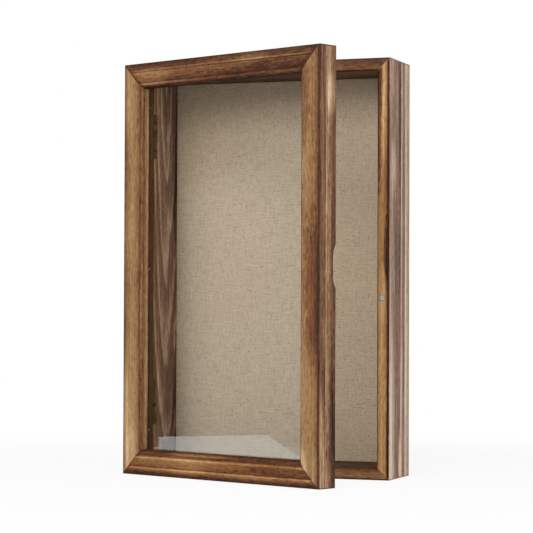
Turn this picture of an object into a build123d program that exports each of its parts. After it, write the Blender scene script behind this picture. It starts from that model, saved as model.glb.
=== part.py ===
from build123d import *
from math import atan2, degrees, sqrt
import os

# A wall or shelf display case: a mitred pine box, a linen-covered back board to pin things to, and a
# glazed, moulded door hinged on the left. Lengths are in millimetres. The origin is the centre of the
# case's underside, +Z is up, +Y goes to the back, and the door opens towards -Y.

# Case
case_width = 267.0
case_height = 420.0
case_depth = 71.5
board_thickness = 12.7
case_front_round = 0.9
case_rear_round = 1.6
case_inner_bevel = 1.3
back_rebate_width = 4.5

# Back, from the front layer to the rear one, and how far its rear lies in from the case's rear edge
linen_thickness = 0.5
pin_board_thickness = 3.0
back_panel_thickness = 3.0
back_recess = 3.0
lining_clearance = 0.3
panel_clearance = 0.4

# Door frame moulding: distances inwards from the outer edge, and heights
door_under_clearance = 0.4
door_gap = 0.6
door_rest_angle = 22.5
frame_width = 25.5
frame_thickness = 25.5
frame_rear_round = 2.2
frame_front_round = 1.3
outer_band_end = 8.2
quirk_width = 1.2
quirk_depth = 0.6
centre_band_end = 19.6
bead_step_width = 0.9
bead_step_depth = 1.0
bead_fall = 1.6
lip_thickness = 10.7
glass_rebate_width = 7.5

# Finger pull in the rear edge of the latch stile
pull_length = 50.0
pull_depth = 5.2
pull_end_length = 15.5
pull_lip_radius = 7.0
pull_reach = 11.0
pull_inner_round = 3.0

# Glass and its stops
glass_thickness = 2.0
glass_clearance = 0.8
stop_width = 6.3
stop_height = 5.0
stop_round = 2.5

# Butt hinges
hinge_height = 46.0
hinge_end_distance = 50.0
leaf_reach = 19.5
leaf_thickness = 1.0
leaf_corner_round = 1.2
knuckle_radius = 2.2
knuckle_count = 3
knuckle_gap = 0.2
knuckle_side_clearance = 0.2
leaf_notch_clearance = 0.35
mortise_clearance = 0.15
hinge_pin_radius = 1.1
pin_running_clearance = 0.05
hinge_screw_spacing = 28.0
hinge_screw_inset = 7.5

# Magnets
magnet_diameter = 6.35
magnet_thickness = 3.0
magnet_proud = 0.2
magnet_edge_distance = 7.2
magnet_height = 181.0

# Fasteners
screw_head_radius = 2.2
screw_shank_radius = 1.2
screw_length = 12.0
brad_width = 1.25
brad_thickness = 1.0
brad_head_width = 2.0
brad_head_height = 0.5
stop_brad_length = 11.0
panel_brad_length = 12.0
panel_brad_edge_distance = 2.2
stop_brads_up_side = 3
stop_brads_across_end = 2
panel_brads_up_side = 4
panel_brads_across_end = 3
brad_end_distance = 45.0
vee_leg_run = 3.0
vee_leg_rise = 3.0
vee_thickness = 0.6
vee_length = 9.0
case_vee_corner_distance = 7.0
door_vee_corner_distance = 14.0

# Sawtooth hanger, let into the rear of the top board
hanger_width = 45.0
hanger_height = 9.5
hanger_thickness = 0.8
hanger_sinking = 1.4
hanger_top_distance = 1.8
hanger_end_width = 7.0
tooth_pitch = 3.1
tooth_depth = 2.4
hanger_nail_length = 10.0
hanger_nail_radius = 0.7
hanger_nail_head_radius = 1.6
hanger_nail_head_height = 0.5

# Worked out from the sizes above
front = -case_depth / 2
rear = case_depth / 2
door_rear = front - door_gap
door_width = case_width
door_low = door_under_clearance
door_high = case_height - door_under_clearance
back_rebate_depth = back_recess + back_panel_thickness
panel_front = rear - back_rebate_depth
linen_front = panel_front - pin_board_thickness - linen_thickness
interior_width = case_width - 2 * board_thickness
interior_height = case_height - 2 * board_thickness
glass_front = frame_thickness - lip_thickness
glass_rear = glass_front - glass_thickness
rebate_wall = frame_width - glass_rebate_width
bead_top = frame_thickness - bead_step_depth
axis_x = -case_width / 2 - knuckle_radius - knuckle_side_clearance
axis_y = front - door_gap / 2
screw_reach = hinge_screw_inset - case_width / 2 - axis_x
hinge_levels = {
    "lower": hinge_end_distance + hinge_height / 2,
    "upper": case_height - hinge_end_distance - hinge_height / 2,
}
sides = ("left", "right", "bottom", "top")
inwards = {"left": (1, 0, 0), "right": (-1, 0, 0), "bottom": (0, 0, 1), "top": (0, 0, -1)}
along = {"left": (0, 0, -1), "right": (0, 0, 1), "bottom": (1, 0, 0), "top": (-1, 0, 0)}


# Blocks and members

def block(x0, x1, y0, y1, z0, z1):
    middle = ((x0 + x1) / 2, (y0 + y1) / 2, (z0 + z1) / 2)
    return Pos(*middle) * Box(x1 - x0, y1 - y0, z1 - z0)


def corner(sketch, x, y):
    return sketch.vertices().sort_by_distance((x, y))[0]


def edge_middle(side, width, low, high, y):
    # The middle of one outer edge of a rectangular frame.
    middle = (low + high) / 2
    places = {
        "left": (-width / 2, y, middle),
        "right": (width / 2, y, middle),
        "bottom": (0, y, low),
        "top": (0, y, high),
    }
    return places[side]


def mitred_member(profile, reach, side, width, low, high, y):
    # The profile's x runs inwards from the outer edge and its y towards the front of the case.
    # The ends are cut at 45 degrees, from the outer corner inwards over the profile's reach.
    length = high - low if side in ("left", "right") else width
    place = edge_middle(side, width, low, high, y)
    section = Plane(origin=place, x_dir=inwards[side], z_dir=along[side]) * profile
    bar = extrude(section, amount=length / 2, both=True)
    face = Plane(origin=place, x_dir=along[side], z_dir=(0, -1, 0))
    outline = Polygon(
        (-length / 2, 0),
        (length / 2, 0),
        (length / 2 - reach, reach),
        (-length / 2 + reach, reach),
        align=None,
    )
    return bar & extrude(face * outline, amount=case_depth + frame_thickness, both=True)


def at_rest(shape):
    # The door is drawn closed, then swung about the hinge pins to where it stands ajar.
    turn = Pos(axis_x, axis_y, 0) * Rot(0, 0, -door_rest_angle) * Pos(-axis_x, -axis_y, 0)
    return turn * shape


# Fasteners, head at the local origin and pointing along local +Z

def countersunk_screw():
    # The head fills the leaf's countersink, so its height is the leaf's thickness.
    outline = Polygon(
        (0, 0),
        (screw_head_radius, 0),
        (screw_shank_radius, leaf_thickness),
        (screw_shank_radius, screw_length),
        (0, screw_length),
        align=None,
    )
    return revolve(Plane.XZ * outline, Axis.Z)


def brad(length):
    # Gun brads are flat wire with a tee head.
    base = (Align.CENTER, Align.CENTER, Align.MIN)
    return Box(brad_width, brad_thickness, length, align=base) + Box(
        brad_head_width, brad_thickness, brad_head_height, align=base)


def round_nail():
    base = (Align.CENTER, Align.CENTER, Align.MIN)
    shank = Cylinder(hanger_nail_radius, hanger_nail_length, align=base)
    return shank + Cylinder(hanger_nail_head_radius, hanger_nail_head_height, align=base)


def drive(fastener, place, direction):
    return Plane(origin=place, z_dir=direction) * fastener


def spread(count, length):
    # Even places along a member, kept clear of its ends.
    span = length - 2 * brad_end_distance
    return [-span / 2 + span * i / (count - 1) for i in range(count)]


def vee_nails(width, low, high, y, corner_distance):
    # Corner irons seen end on from the back: a chevron across each mitre, driven towards the front.
    chevron = Polygon(
        (vee_thickness, 0),
        (-vee_leg_run, vee_leg_rise),
        (-vee_leg_run - vee_thickness, vee_leg_rise),
        (0, 0),
        (-vee_leg_run - vee_thickness, -vee_leg_rise),
        (-vee_leg_run, -vee_leg_rise),
        align=None,
    )
    step = (corner_distance - vee_leg_run / 2) / sqrt(2)
    nails = []
    for sx in (-1, 1):
        for sz, level in ((-1, low + step), (1, high - step)):
            plane = Plane(origin=(sx * (width / 2 - step), y, level), x_dir=(sx, 0, sz), z_dir=(0, -1, 0))
            nails.append(extrude(plane * chevron, amount=vee_length))
    return nails


# Case

def case_profile():
    shoulder = -(case_depth - back_rebate_depth)
    rim = board_thickness - back_rebate_width
    outline = Polygon(
        (0, 0),
        (board_thickness, 0),
        (board_thickness, shoulder),
        (rim, shoulder),
        (rim, -case_depth),
        (0, -case_depth),
        align=None,
    )
    outline = fillet(corner(outline, 0, 0), case_front_round)
    outline = fillet(corner(outline, 0, -case_depth), case_rear_round)
    return chamfer(corner(outline, board_thickness, 0), case_inner_bevel)


def back_panel():
    margin = board_thickness - back_rebate_width + panel_clearance
    half = case_width / 2 - margin
    return block(-half, half, panel_front, panel_front + back_panel_thickness, margin, case_height - margin)


def back_panel_brads():
    margin = board_thickness - back_rebate_width + panel_clearance + panel_brad_edge_distance
    y = panel_front + back_panel_thickness
    nail = brad(panel_brad_length)
    brads = []
    for offset in spread(panel_brads_up_side, case_height):
        for sx in (-1, 1):
            place = (sx * (case_width / 2 - margin), y, case_height / 2 + offset)
            brads.append(drive(nail, place, (0, -1, 0)))
    for offset in spread(panel_brads_across_end, case_width):
        for level in (margin, case_height - margin):
            brads.append(drive(nail, (offset, y, level), (0, -1, 0)))
    return brads


def lining_block(inset, y0):
    half = interior_width / 2 - lining_clearance - inset
    low = board_thickness + lining_clearance + inset
    return block(-half, half, y0, panel_front, low, case_height - low)


def pin_board():
    return lining_block(linen_thickness, linen_front + linen_thickness)


def linen_cover():
    return lining_block(0, linen_front) - pin_board()


def magnet(y0):
    # A disc let into the right-hand member; the same line and level serve the case and the door.
    place = (case_width / 2 - magnet_edge_distance, y0, magnet_height)
    plane = Plane(origin=place, z_dir=(0, 1, 0))
    return extrude(plane * Circle(magnet_diameter / 2), amount=magnet_thickness)


def hanger_blank_low():
    return case_height - hanger_top_distance - hanger_height


def sawtooth_hanger():
    low = hanger_blank_low()
    back_face = rear - hanger_sinking + hanger_thickness
    strip = block(-hanger_width / 2, hanger_width / 2, back_face - hanger_thickness, back_face,
                  low, low + hanger_height)
    toothed = hanger_width - 2 * hanger_end_width
    count = int(toothed / tooth_pitch)
    for i in range(count):
        x = (i - (count - 1) / 2) * tooth_pitch
        notch = Polygon(
            (x - tooth_pitch / 2, low - tooth_depth / 2),
            (x + tooth_pitch / 2, low - tooth_depth / 2),
            (x, low + tooth_depth),
            align=None,
        )
        plane = Plane(origin=(0, back_face, 0), x_dir=(1, 0, 0), z_dir=(0, -1, 0))
        strip -= extrude(plane * notch, amount=hanger_thickness)
    return strip


def hanger_recess():
    low = case_height - board_thickness
    half = hanger_width / 2 + mortise_clearance
    high = case_height - hanger_top_distance + mortise_clearance
    return block(-half, half, rear - hanger_sinking, rear, low, high)


def hanger_nails():
    nail = round_nail()
    y = rear - hanger_sinking + hanger_thickness + hanger_nail_head_height
    level = (hanger_blank_low() + hanger_height + case_height - board_thickness + back_rebate_width) / 2
    x = hanger_width / 2 - hanger_end_width / 2
    return [drive(nail, (sx * x, y, level), (0, -1, 0)) for sx in (-1, 1)]


# Door frame

def frame_profile():
    # Outer band, quirk, centre band, step and sloping inner bead, then the lip that the glass seats on.
    top = frame_thickness
    quirk_end = outer_band_end + quirk_width
    bead_start = centre_band_end + bead_step_width
    bead_low = bead_top - bead_fall
    nose = bead_fall / 2
    lines = Line((frame_rear_round, 0), (rebate_wall, 0))
    lines += Line((rebate_wall, 0), (rebate_wall, glass_front))
    lines += Line((rebate_wall, glass_front), (frame_width, glass_front))
    lines += Line((frame_width, glass_front), (frame_width, bead_low - nose))
    lines += Line((frame_width, bead_low - nose), (frame_width - nose, bead_low))
    bead_middle = ((frame_width - nose + bead_start) / 2, (bead_low + bead_top) / 2 + nose / 2)
    lines += ThreePointArc((frame_width - nose, bead_low), bead_middle, (bead_start, bead_top))
    lines += Line((bead_start, bead_top), (centre_band_end, top))
    lines += Line((centre_band_end, top), (quirk_end, top))
    lines += Line((quirk_end, top), (outer_band_end + quirk_width / 2, top - quirk_depth))
    lines += Line((outer_band_end + quirk_width / 2, top - quirk_depth), (outer_band_end, top))
    lines += Line((outer_band_end, top), (frame_front_round, top))
    slack = (1 - 1 / sqrt(2))
    front_middle = (frame_front_round * slack, top - frame_front_round * slack)
    lines += ThreePointArc((frame_front_round, top), front_middle, (0, top - frame_front_round))
    lines += Line((0, top - frame_front_round), (0, frame_rear_round))
    rear_middle = (frame_rear_round * slack, frame_rear_round * slack)
    lines += ThreePointArc((0, frame_rear_round), rear_middle, (frame_rear_round, 0))
    return make_face(lines)


def finger_pull():
    # The hollow's outline, seen from the door's side: a flat floor, with a long arc and then the lip's arc at each end.
    half = pull_length / 2
    turn = 2 * degrees(atan2(pull_depth, pull_end_length))
    both_radii = (pull_end_length ** 2 + pull_depth ** 2) / (2 * pull_depth)
    lip_arc = JernArc((half, 0), (-1, 0), pull_lip_radius, -turn)
    floor_arc = JernArc(lip_arc @ 1, lip_arc % 1, both_radii - pull_lip_radius, turn)
    end = lip_arc + floor_arc + Line((half, 0), (half, -pull_depth))
    outline = end + mirror(end, about=Plane.YZ)
    outline += Line((half, -pull_depth), (-half, -pull_depth))
    outline += Line(floor_arc @ 1, mirror(floor_arc, about=Plane.YZ) @ 1)
    outer = door_width / 2
    plane = Plane(origin=(outer + pull_depth, door_rear, case_height / 2), x_dir=(0, 0, 1), z_dir=(1, 0, 0))
    hollow = extrude(plane * make_face(outline), amount=-(pull_reach + pull_depth))
    inner_face = hollow.faces().sort_by(Axis.X)[0]
    rounded = [e for e in inner_face.edges() if e.center().Y < door_rear]
    return fillet(rounded, pull_inner_round)


def glass_pane():
    half = door_width / 2 - rebate_wall - glass_clearance
    low = door_low + rebate_wall + glass_clearance
    high = door_high - rebate_wall - glass_clearance
    return block(-half, half, door_rear - glass_front, door_rear - glass_rear, low, high)


def stop_profile():
    outline = Polygon(
        (0, glass_rear),
        (stop_width, glass_rear),
        (stop_width, glass_rear - stop_height),
        (0, glass_rear - stop_height),
        align=None,
    )
    return fillet(corner(outline, stop_width, glass_rear - stop_height), stop_round)


def glass_stop(side):
    width = door_width - 2 * rebate_wall
    return mitred_member(stop_profile(), stop_width, side, width, door_low + rebate_wall,
                         door_high - rebate_wall, door_rear)


def glass_stop_brads():
    nail = brad(stop_brad_length)
    y = door_rear - glass_rear + stop_height / 2 - brad_thickness / 2
    inset = rebate_wall + stop_width
    brads = []
    for offset in spread(stop_brads_up_side, door_high - door_low):
        for sx in (-1, 1):
            place = (sx * (door_width / 2 - inset), y, case_height / 2 + offset)
            brads.append(drive(nail, place, (sx, 0, 0)))
    for offset in spread(stop_brads_across_end, door_width):
        for sz, level in ((-1, door_low + inset), (1, door_high - inset)):
            brads.append(drive(nail, (offset, y, level), (0, 0, sz)))
    return brads


# Hinges, drawn closed about their own pin: the case leaf lies at +Y of the pin and the door leaf at -Y

def knuckle_span(index):
    length = (hinge_height - (knuckle_count - 1) * knuckle_gap) / knuckle_count
    start = -hinge_height / 2 + index * (length + knuckle_gap)
    return start, start + length


def hinge_leaf(sy, first, bore):
    near = door_gap / 2
    y0, y1 = sorted((sy * near, sy * (near + leaf_thickness)))
    leaf = block(0, leaf_reach, y0, y1, -hinge_height / 2, hinge_height / 2)
    free_corners = [e for e in leaf.edges().filter_by(Axis.Y) if e.center().X > leaf_reach / 2]
    leaf = fillet(free_corners, leaf_corner_round)
    own = range(first, knuckle_count, 2)
    for index in range(knuckle_count):
        low, high = knuckle_span(index)
        if index in own:
            leaf += Pos(0, 0, (low + high) / 2) * Cylinder(knuckle_radius, high - low)
        else:
            reach = knuckle_radius + leaf_notch_clearance
            leaf -= block(-reach, reach, -reach, reach, low - knuckle_gap, high + knuckle_gap)
    return leaf - Cylinder(bore, hinge_height)


def on_hinge_line(shape, level):
    return Pos(axis_x, axis_y, level) * shape


def hinge_screws(sy, level):
    screw = countersunk_screw()
    near = sy * door_gap / 2
    screws = []
    for s in (-1, 1):
        place = (axis_x + screw_reach, axis_y + near, level + s * hinge_screw_spacing / 2)
        screws.append(drive(screw, place, (0, sy, 0)))
    return screws


def leaf_mortise(sy, level):
    # The shallow housing that lets a leaf lie flush with the wood.
    near = door_gap / 2
    y0, y1 = sorted((axis_y + sy * near, axis_y + sy * (near + leaf_thickness)))
    half = hinge_height / 2 + mortise_clearance
    edge = axis_x + leaf_reach + mortise_clearance
    return block(axis_x, edge, y0, y1, level - half, level + half)


# Assembly

def cut(shape, tools):
    for tool in tools:
        shape -= tool
    return shape


def build_case():
    profile = case_profile()
    boards = {}
    for side in sides:
        boards[side] = mitred_member(profile, board_thickness, side, case_width, 0, case_height, front)
    nails = vee_nails(case_width, 0, case_height, rear, case_vee_corner_distance)
    brads = back_panel_brads()
    case_magnet = magnet(front - magnet_proud)
    hanger = sawtooth_hanger()
    tacks = hanger_nails()
    parts = {}
    for where, level in hinge_levels.items():
        screws = hinge_screws(1, level)
        leaf = on_hinge_line(hinge_leaf(1, 0, hinge_pin_radius), level)
        boards["left"] = cut(boards["left"], [leaf_mortise(1, level)] + screws)
        parts[where + "_hinge_case_leaf"] = cut(leaf, screws)
        parts[where + "_hinge_pin"] = on_hinge_line(Cylinder(hinge_pin_radius, hinge_height), level)
        parts[where + "_hinge_case_screws"] = Compound(screws)
    boards["right"] = cut(boards["right"], [case_magnet])
    boards["top"] = cut(boards["top"], [hanger_recess()] + tacks)
    for side in sides:
        boards[side] = cut(boards[side], nails + brads)
    parts["case_left_side"] = boards["left"]
    parts["case_right_side"] = boards["right"]
    parts["case_bottom_board"] = boards["bottom"]
    parts["case_top_board"] = boards["top"]
    parts["case_corner_vee_nails"] = Compound(nails)
    parts["back_panel"] = cut(back_panel(), brads)
    parts["back_panel_brads"] = Compound(brads)
    parts["pin_board"] = pin_board()
    parts["linen_cover"] = linen_cover()
    parts["case_magnet"] = case_magnet
    parts["sawtooth_hanger"] = cut(hanger, tacks)
    parts["hanger_nails"] = Compound(tacks)
    return parts


def build_door():
    profile = frame_profile()
    members = {}
    stops = {}
    for side in sides:
        members[side] = mitred_member(profile, frame_width, side, door_width, door_low, door_high, door_rear)
        stops[side] = glass_stop(side)
    nails = vee_nails(door_width, door_low, door_high, door_rear, door_vee_corner_distance)
    brads = glass_stop_brads()
    door_magnet = magnet(door_rear + magnet_proud - magnet_thickness)
    parts = {}
    for where, level in hinge_levels.items():
        screws = hinge_screws(-1, level)
        leaf = on_hinge_line(hinge_leaf(-1, 1, hinge_pin_radius + pin_running_clearance), level)
        members["left"] = cut(members["left"], [leaf_mortise(-1, level)] + screws)
        parts[where + "_hinge_door_leaf"] = cut(leaf, screws)
        parts[where + "_hinge_door_screws"] = Compound(screws)
    members["right"] = cut(members["right"], [door_magnet, finger_pull()])
    for side in sides:
        members[side] = cut(members[side], nails + brads)
        stops[side] = cut(stops[side], brads)
    parts["door_hinge_stile"] = members["left"]
    parts["door_latch_stile"] = members["right"]
    parts["door_bottom_rail"] = members["bottom"]
    parts["door_top_rail"] = members["top"]
    parts["door_corner_vee_nails"] = Compound(nails)
    parts["glass_pane"] = glass_pane()
    for side, shape in stops.items():
        parts[side + "_glass_stop"] = shape
    parts["glass_stop_brads"] = Compound(brads)
    parts["door_magnet"] = door_magnet
    return {name: at_rest(shape) for name, shape in parts.items()}


os.makedirs("parts", exist_ok=True)
for name, shape in (build_case() | build_door()).items():
    export_step(shape, "parts/" + name + ".step")
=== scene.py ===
from math import cos, pi, radians, sin

import bmesh
import bpy
from mathutils import Matrix, Vector, noise


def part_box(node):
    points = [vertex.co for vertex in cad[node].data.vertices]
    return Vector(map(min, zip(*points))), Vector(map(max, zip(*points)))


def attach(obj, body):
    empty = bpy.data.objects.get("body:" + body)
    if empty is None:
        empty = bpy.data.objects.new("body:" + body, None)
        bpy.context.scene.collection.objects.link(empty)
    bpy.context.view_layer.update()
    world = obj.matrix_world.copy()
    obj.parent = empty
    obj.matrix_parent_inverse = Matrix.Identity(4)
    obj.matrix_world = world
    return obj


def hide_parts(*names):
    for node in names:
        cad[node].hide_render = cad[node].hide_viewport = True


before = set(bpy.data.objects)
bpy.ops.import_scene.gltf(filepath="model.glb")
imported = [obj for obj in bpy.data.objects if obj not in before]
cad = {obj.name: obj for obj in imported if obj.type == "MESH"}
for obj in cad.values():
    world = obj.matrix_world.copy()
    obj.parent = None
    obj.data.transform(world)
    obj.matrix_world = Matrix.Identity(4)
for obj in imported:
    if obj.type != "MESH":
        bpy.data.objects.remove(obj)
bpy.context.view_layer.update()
scene = bpy.context.scene
print("frame loaded:", len(cad), "CAD nodes")

# The case as it was built, in millimetres. Material patterns are laid out with these.
case = {"width": 267.0, "height": 420.0, "front": -35.75, "board": 12.7, "depth": 71.5}
door = {
    "rear": -36.35,
    "thickness": 25.5,
    "frame": 25.5,
    "low": 0.4, "high": 419.6,
    "hingeX": -135.9,
    "hingeY": -36.05,
    "swing": 22.5,  # degrees open at rest
}
solidShare = 0.3  # the part of a burn mark's reach that has its full strength


def colour(code):
    # A hex code as a linear colour.
    code = code.lstrip("#")
    parts = [int(code[i:i + 2], 16) / 255 for i in (0, 2, 4)]
    return [p / 12.92 if p <= 0.04045 else ((p + 0.055) / 1.055) ** 2.4 for p in parts] + [1.0]


def summed(operation, turned=False):
    # A method of a wire that adds a Math node. Turned, the wire is its second value.
    return lambda wire, *others: wire.maths(operation, *((*others, wire) if turned else (wire, *others)))


class Wire:
    # One output of a node. Sums on wires add Math nodes.
    def __init__(self, bench, socket):
        self.bench = bench
        self.socket = socket

    def maths(self, operation, *values):
        return self.bench.add("ShaderNodeMath", {"operation": operation}, dict(enumerate(values)))

    __add__, __radd__ = summed("ADD"), summed("ADD", True)
    __sub__, __rsub__ = summed("SUBTRACT"), summed("SUBTRACT", True)
    __mul__, __rmul__ = summed("MULTIPLY"), summed("MULTIPLY", True)
    __truediv__, __rtruediv__ = summed("DIVIDE"), summed("DIVIDE", True)
    __mod__, __abs__ = summed("FLOORED_MODULO"), summed("ABSOLUTE")
    sine, root = summed("SINE"), summed("SQRT")
    atMost, atLeast = summed("MINIMUM"), summed("MAXIMUM")

    def squared(self):
        return self * self

    def fade(self, low, high):
        # 0 at low, 1 at high, smooth between; high may be the smaller.
        sockets = {0: self, 1: low, 2: high} if low < high else {0: self, 1: high, 2: low, 3: 1.0, 4: 0.0}
        return self.bench.add("ShaderNodeMapRange", {"interpolation_type": "SMOOTHSTEP"}, sockets)


class Bench:
    # A material or a world being made, node by node.
    def __init__(self, name, kind=bpy.data.materials):
        self.made = kind.new(name)
        self.made.use_nodes = True
        self.tree = self.made.node_tree
        self.tree.nodes.clear()

    def add(self, kind, settings=None, sockets=None, out=0):
        node = self.tree.nodes.new(kind)
        for name, value in (settings or {}).items():
            if name == "stops":
                self.setStops(node.color_ramp, value)
            else:
                setattr(node, name, value)
        for place, value in (sockets or {}).items():
            if isinstance(value, Wire):
                self.tree.links.new(value.socket, node.inputs[place])
            else:
                node.inputs[place].default_value = value
        return Wire(self, node.outputs[out]) if len(node.outputs) else None

    def setStops(self, ramp, stops):
        while len(ramp.elements) < len(stops):
            ramp.elements.new(0.5)
        for element, (place, shade) in zip(ramp.elements, sorted(stops)):
            element.position = place
            element.color = colour(shade) if isinstance(shade, str) else [shade] * 3 + [1.0]

    def point(self, scale=1000.0, turn=0.0, shift=(0, 0, 0)):
        # Object coordinates, in millimetres at the usual scale, turned and shifted to suit a piece.
        where = self.add("ShaderNodeTexCoord", out="Object")
        sockets = {"Vector": where, "Location": shift, "Rotation": (0, 0, turn), "Scale": (scale,) * 3}
        return self.add("ShaderNodeMapping", {}, sockets)

    def rays(self, *names):
        # What the ray is or has done, by the names of Light Path's outputs.
        node = self.add("ShaderNodeLightPath").socket.node
        return [Wire(self, node.outputs[name]) for name in names]

    def axes(self, vector):
        split = self.add("ShaderNodeSeparateXYZ", {}, {0: vector}).socket.node
        return [Wire(self, socket) for socket in split.outputs]

    def join(self, x, y, z):
        return self.add("ShaderNodeCombineXYZ", {}, {0: x, 1: y, 2: z})

    def stretch(self, axes, scales):
        return self.join(*[axis * scale for axis, scale in zip(axes, scales)])

    def cloud(self, vector, scale, detail=2.0, roughness=0.5):
        # Noise from 0 to 1.
        sockets = {"Vector": vector, "Scale": scale, "Detail": detail, "Roughness": roughness}
        return self.add("ShaderNodeTexNoise", {}, sockets)

    def ramp(self, value, stops):
        return self.add("ShaderNodeValToRGB", {"stops": stops}, {0: value})

    def mix(self, amount, first, second):
        first, second = [colour(tint) if isinstance(tint, str) else tint for tint in (first, second)]
        return self.add("ShaderNodeMix", {"data_type": "RGBA"}, {0: amount, 6: first, 7: second}, out=2)

    def layer(self, amount, under, over):
        return self.add("ShaderNodeMixShader", {}, {0: amount, 1: under, 2: over})

    def shade(self, tint, amount):
        # Brighter or darker by a factor that varies.
        return self.add("ShaderNodeVectorMath", {"operation": "SCALE"}, {0: tint, 3: amount})

    def bump(self, height, distance, strength=1.0):
        return self.add("ShaderNodeBump", {}, {"Height": height, "Distance": distance, "Strength": strength})

    def surface(self, **sockets):
        # The Principled shader, wired to the output. Underscores in a socket's name stand for spaces.
        named = {name.replace("_", " "): value for name, value in sockets.items()}
        return self.finish(self.add("ShaderNodeBsdfPrincipled", {}, named))

    def finish(self, shader, output="ShaderNodeOutputMaterial"):
        self.add(output, {}, {"Surface": shader})
        return self.made


def placed(name, data):
    # A new object in the scene.
    made = bpy.data.objects.new(name, data)
    scene.collection.objects.link(made)
    return made


def dress(material, *names):
    for name in names:
        slots = cad[name].material_slots
        for slot in slots:
            slot.material = material
        if not slots:
            cad[name].data.materials.append(material)


# Torched and sealed pine. Every pattern adds to one level, 0 for soot and 1 for pale wood, mostly burn and in
# a few places painted shade, which a curve turns into a colour: planed faces are warm, some boards redder,
# and the case's sawn outer sides greyer.
burnCurves = {
    "planed": [
        (0.0, "#1C110B"), (0.12, "#3A2216"), (0.25, "#533322"), (0.4, "#6F492E"),
        (0.55, "#876341"), (0.7, "#9D7C56"), (0.85, "#B6976E"), (1.0, "#D4BA98"),
    ],
    "russet": [
        (0.0, "#1C110B"), (0.12, "#3A2115"), (0.25, "#53311F"), (0.4, "#70462A"),
        (0.55, "#885F3A"), (0.7, "#9E764B"), (0.85, "#B79162"), (1.0, "#D5B68C"),
    ],
    "sawn": [
        (0.0, "#241611"), (0.2, "#5A3F32"), (0.35, "#705545"), (0.5, "#856553"),
        (0.65, "#A38670"), (0.8, "#BD9F87"), (1.0, "#E6D0BA"),
    ],
}

torch = {
    # blotches per millimetre across the grain and along it, detail, roughness, and a shift
    "noise": {
        "passes": (0.05, 0.011, 3.0, 0.5, 0.0),  # where the torch went slower or faster
        "streaks": (0.45, 0.012, 5.0, 0.65, 3.7),
        "mottle": (0.42, 0.13, 3.0, 0.6, 8.1),
        "fibre": (0.95, 0.06, 5.0, 0.75, 1.3),
        "fleck": (0.9, 0.2, 1.0, 0.4, 5.9),
    },
    "char": 0.12,  # burn level of the ends and the joint lines
    "ringShape": [(0.0, 0.1), (0.45, 0.35), (0.8, 1.0), (0.9, 0.8), (1.0, 0.1)],
    "ringMean": 0.45,
    "ringWaver": 0.6,
    "patchWaver": {"mottle": 1.2, "passes": 1.5},
    "patchFade": (1.3, 0.1),
    "edgeWaver": {"fibre": 0.8, "mottle": 1.2},
    "endWaver": 8.0,
    "endLineFade": (1.5, 0.5),
    "arris": 0.15,  # how far one face's burn runs over an arris, in millimetres
    "innerFade": (0.5, 0.2),
    "lipFade": (0.7, 1.2),
    "fleckFade": (0.1, 0.22),
    "comb": {"across": 0.1, "along": 1.1, "detail": 4.0, "roughness": 0.7},
    "relief": {"fibre": 0.8, "late": 0.25, "fleck": 0.5, "distance": 0.00015, "strength": 0.8},
    "roughness": {"base": 0.6, "fibre": 0.3, "pale": 0.08},
    "specular": 0.1,
}


def memberAxes(bench, body, side):
    # How far in from a member's outer edge, back from its front, along it, and from the nearer mitre.
    if body == "door":
        turn = radians(door["swing"])
        pin = Vector((door["hingeX"], door["hingeY"], 0))
        shift = pin - Matrix.Rotation(turn, 3, "Z") @ pin
        x, y, z = bench.axes(bench.point(1000.0, turn, tuple(shift)))
        back = y - (door["rear"] - door["thickness"])
        low, high = door["low"], door["high"]
    else:
        x, y, z = bench.axes(bench.point(1000.0))
        back = y - case["front"]
        low, high = 0.0, case["height"]
    half = case["width"] / 2
    edges = {"left": x + half, "right": half - x, "bottom": z - low, "top": high - z}
    inward = edges[side]
    if side in ("left", "right"):
        along = z
        toMitre = (z - low).atMost(high - z) - inward
    else:
        along = x
        toMitre = (x + half).atMost(half - x) - inward
    return inward, back, along, toMitre


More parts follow.
